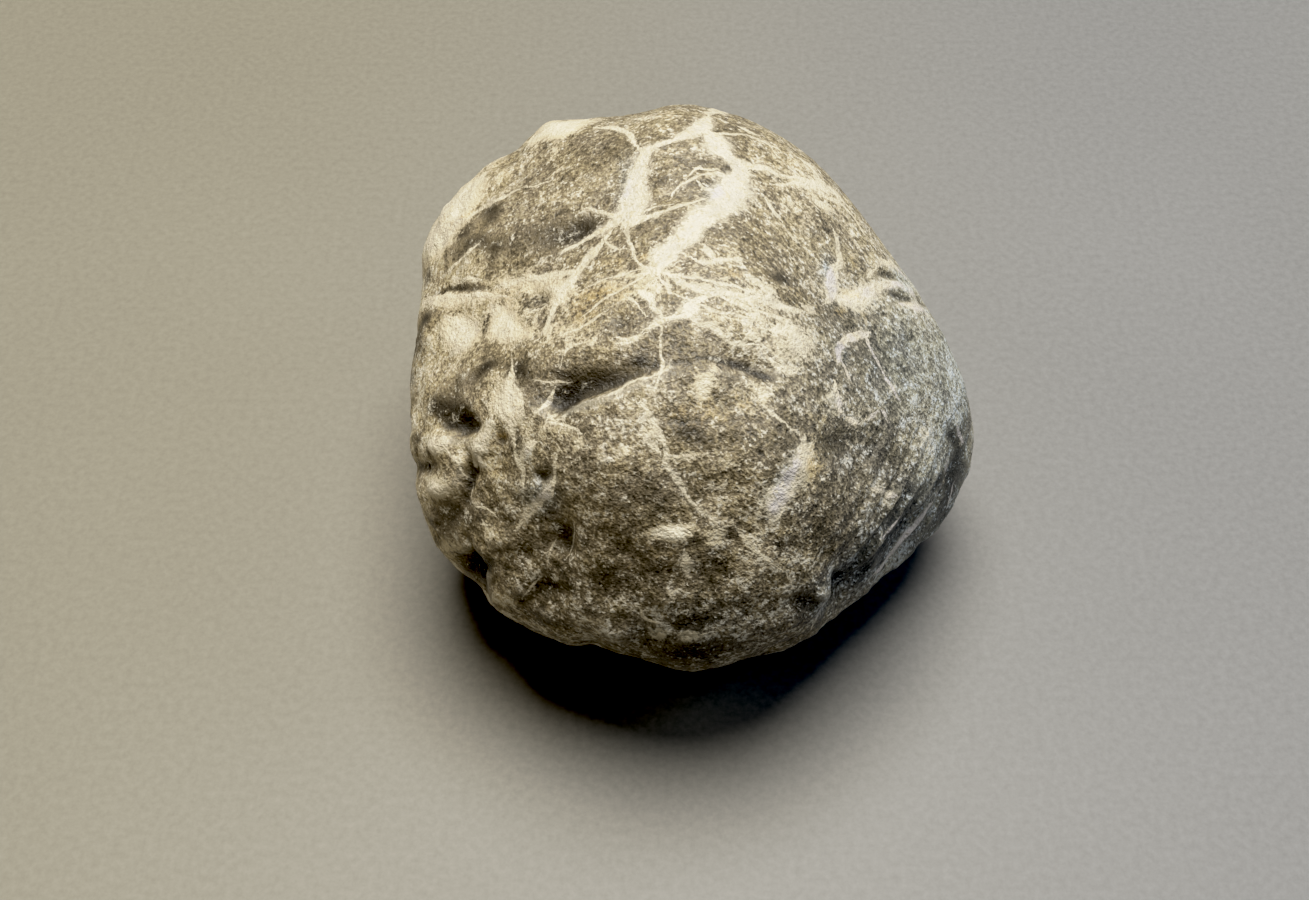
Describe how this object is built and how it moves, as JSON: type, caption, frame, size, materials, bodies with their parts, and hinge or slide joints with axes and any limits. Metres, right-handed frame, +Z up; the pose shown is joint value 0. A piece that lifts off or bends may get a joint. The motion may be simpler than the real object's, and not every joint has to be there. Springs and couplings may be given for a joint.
{
  "type": "beach pebble",
  "caption": "Palm-sized, sea-worn natural stone: a rounded, faceted block of veined dark limestone that rests on a small flat.",
  "frame": {"origin": "on the surface that the stone rests on, under the middle of its bounding box", "axes": "+Z up, +X to the right and +Y away from a viewer who faces the worn face with the ledge"},
  "size_m": [0.062, 0.0662, 0.0491],
  "materials": {
    "veined_stone": "dry sea-worn, fine-grained matt with a slight waxy sheen"
  },
  "bodies": {
    "root": {"pebble": "veined_stone"}
  },
  "joints": []
}
